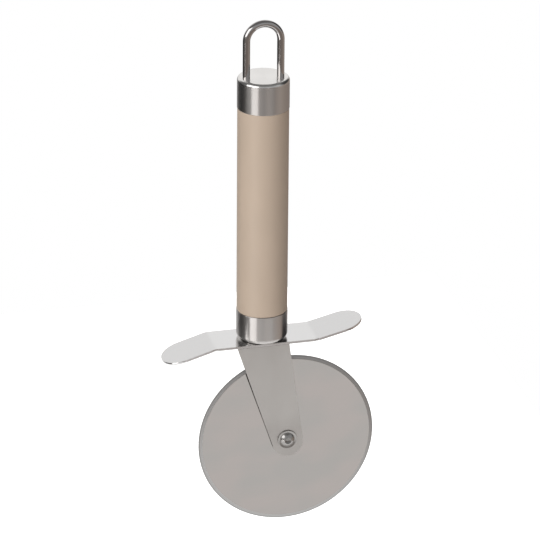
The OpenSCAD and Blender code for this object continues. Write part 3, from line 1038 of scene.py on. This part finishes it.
# %% [markdown]
# ## Floor and background
# The picture's background is plain white. A pale floor lies well below the hanging cutter, and it
# could be lit until it is white, but then the cutter would be too bright. So the floor glows a
# little for the camera, on top of its own light and shadow, and steel mirrors it as plain white.
# For all other light it is an ordinary pale surface.

# %% Floor
FLOOR_Z = -0.3
FLOOR_LEFT = -0.2
FLOOR_RIGHT = 0.2
FLOOR_FRONT = -0.361
FLOOR_BACK = 0.42
FLOOR_COLOUR = (0.8, 0.79, 0.78)
FLOOR_ROUGHNESS = 0.8
FLOOR_GLOW = 0.7


def emit(tree, strength):
    """Plain white light of its own."""
    return add_node(tree, "Emission", inputs={"Strength": strength}).outputs[0]


def choose(tree, factor, first, second):
    """The first shader where the factor is 0, and the second where it is 1."""
    return add_node(tree, "MixShader", inputs={0: factor, 1: first, 2: second}).outputs[0]


def make_pale_floor():
    material, tree, shader = start_material("pale_floor", FLOOR_COLOUR, 0, FLOOR_ROUGHNESS)
    material.cycles.emission_sampling = "NONE"
    ray = add_node(tree, "LightPath").outputs
    own = shader.outputs[0]
    lifted = add_node(tree, "AddShader", inputs={0: own, 1: emit(tree, FLOOR_GLOW)})
    seen = choose(tree, ray["Is Camera Ray"], own, lifted.outputs[0])
    mirrored = calculate(tree, "MAXIMUM", ray["Is Glossy Ray"], ray["Is Transmission Ray"])
    look = choose(tree, mirrored, seen, emit(tree, 1))
    tree.links.new(look, tree.nodes["Material Output"].inputs["Surface"])
    return material


def make_floor():
    shape = bmesh.new()
    corners = [shape.verts.new((x, y, FLOOR_Z)) for x, y in (
        (FLOOR_LEFT, FLOOR_FRONT), (FLOOR_RIGHT, FLOOR_FRONT), (FLOOR_RIGHT, FLOOR_BACK),
        (FLOOR_LEFT, FLOOR_BACK))]
    shape.faces.new(corners)
    mesh = bpy.data.meshes.new("floor")
    shape.to_mesh(mesh)
    shape.free()
    floor = bpy.data.objects.new("floor", mesh)
    scene.collection.objects.link(floor)
    mesh.materials.append(make_pale_floor())
    return floor


floor = make_floor()
print(floor.name, "lies at", FLOOR_Z, "m")

# %% [markdown]
# ## The room that steel mirrors
# Steel has almost no colour of its own: it shows its room. So the room is drawn on the world as two
# bands round the horizon, a low one and a high one. Both are pale behind the cutter and dark at the
# back on the left. In front and on the right the low band is a warm grey and the high one a lighter,
# cooler one. A dim ceiling closes the room above. A photographed room would be simpler, but here
# each wall can be set to what one side of the cap shows. The camera itself sees plain white.

# %% Colours of the room
LOW_BAND = ((-165, (0.3, 0.3, 0.3)), (-150, (0.02, 0.02, 0.02)), (-115, (0.03, 0.03, 0.03)),
            (-96, (0.11, 0.105, 0.1)), (-60, (0.22, 0.205, 0.195)), (-30, (0.28, 0.245, 0.225)),
            (-10, (0.21, 0.182, 0.165)), (7, (0.34, 0.29, 0.26)), (30, (0.23, 0.196, 0.176)),
            (45, (0.36, 0.306, 0.273)), (68, (0.47, 0.405, 0.36)), (95, (0.43, 0.37, 0.33)),
            (120, (0.36, 0.31, 0.28)), (145, (0.32, 0.275, 0.25)), (160, (0.8, 0.8, 0.8)))
HIGH_BAND = ((-170, (0.93, 0.93, 0.93)), (-155, (1, 1, 1)), (-135, (0.14, 0.14, 0.14)),
             (-110, (0.14, 0.14, 0.14)), (-60, (0.42, 0.43, 0.44)), (-30, (0.48, 0.49, 0.5)),
             (-10, (0.42, 0.43, 0.44)), (7, (0.5, 0.51, 0.52)), (30, (0.42, 0.43, 0.44)),
             (60, (0.52, 0.53, 0.54)), (88, (0.05, 0.05, 0.05)), (130, (0.05, 0.05, 0.05)),
             (150, (1, 1, 1)), (168, (1, 1, 1)), (176, (0.93, 0.93, 0.93)))
CEILING = (0.2, 0.2, 0.2)
WHITE = (1, 1, 1)
HIGH_FROM = (-8, 6)
CEILING_FROM = (38, 50)
print("the low band has", len(LOW_BAND), "colours and the high one", len(HIGH_BAND))


# %% World
def band(tree, part, stops):
    """Colours round the horizon, at bearings from the front, positive to the right."""
    node = add_node(tree, "ValToRGB", inputs={"Fac": part})
    while len(node.color_ramp.elements) < len(stops):
        node.color_ramp.elements.new(0.5)
    for stop, (degrees, colour) in zip(node.color_ramp.elements, stops):
        stop.position = (degrees + 180) / 360
        stop.color = (*colour, 1)
    return node.outputs[0]


def rise_through(tree, height, low, high):
    """Goes from 0 to 1 as the direction rises from one elevation to another, in degrees."""
    return spread(tree, height, math.sin(math.radians(low)), math.sin(math.radians(high)))


def make_world():
    world = bpy.data.worlds.new("studio")
    scene.world = world
    world.use_nodes = True
    tree = world.node_tree
    right, back, height = (coordinate(tree, axis, "Generated") for axis in "XYZ")
    bearing = calculate(tree, "ARCTAN2", right, calculate(tree, "MULTIPLY", back, -1))
    part = spread(tree, bearing, -math.pi, math.pi)
    walls = mix(tree, rise_through(tree, height, *HIGH_FROM),
                band(tree, part, LOW_BAND), band(tree, part, HIGH_BAND))
    room = mix(tree, rise_through(tree, height, *CEILING_FROM), walls, CEILING)
    ray = add_node(tree, "LightPath").outputs
    straight = calculate(tree, "MAXIMUM", ray["Is Camera Ray"], ray["Is Transmission Ray"])
    tree.links.new(mix(tree, straight, room, WHITE), tree.nodes["Background"].inputs["Color"])
    print("made", world.name)


make_world()

# %% [markdown]
# ## The lamps
# Four soft boxes stand round the cutter. The low panel and the key lamp show in the steel: they
# draw the upright streaks on the cap and the collar and the light in the loop. The other two only
# lift the shadows, in front and behind, and steel doesn't mirror them. A lamp's strength is given as
# radiance, its brightness to look at, so it stays right when its size or distance changes.

# %% Lamps
LAMP_CENTRE = Vector((0, 0, -0.08))


def soft_lamp(name, bearing, elevation, distance, width, height, radiance, mirrored=True):
    """A soft box that faces the cutter. bearing is from the front, positive to the right."""
    data = bpy.data.lights.new(name, "AREA")
    data.shape = "RECTANGLE"
    data.size = width
    data.size_y = height
    data.energy = radiance * math.pi * width * height
    lamp = bpy.data.objects.new(name, data)
    scene.collection.objects.link(lamp)
    turn = Matrix.Rotation(math.radians(bearing), 4, "Z")
    lift = Matrix.Rotation(math.radians(90 - elevation), 4, "X")
    away = Matrix.Translation((0, 0, distance))
    lamp.matrix_world = Matrix.Translation(LAMP_CENTRE) @ turn @ lift @ away
    lamp.visible_camera = False
    lamp.visible_glossy = mirrored
    print(name, "gives", round(data.energy, 2), "W")
    return lamp


soft_lamp("low_panel", bearing=-53, elevation=-34.5, distance=0.9, width=0.48, height=0.5, radiance=2)
soft_lamp("key_lamp", bearing=-64, elevation=25, distance=0.9, width=0.85, height=0.6, radiance=2)
soft_lamp("fill_lamp", bearing=-36, elevation=50, distance=1.2, width=1.0, height=1.0, radiance=2.65,
          mirrored=False)
soft_lamp("back_fill", bearing=165, elevation=35, distance=1.2, width=1.0, height=1.0, radiance=2.4,
          mirrored=False)

# %% [markdown]
# ## Finish
# The Standard view shows each colour as it is written, so a measured grey stays that grey. A look
# such as Filmic would soften the highlights and change the colours.

# %% Colour management
scene.view_settings.view_transform = "Standard"
print("view:", scene.view_settings.view_transform)

# %% Finish
new_pieces = (cap_shell, collar_shell, grip_bar, wire_loop, guard_strip, arm_strip, wheel_disc,
              dome_rivet, dished_washer)
print(len(new_pieces), "new pieces, with", sum(len(piece.data.polygons) for piece in new_pieces), "faces")
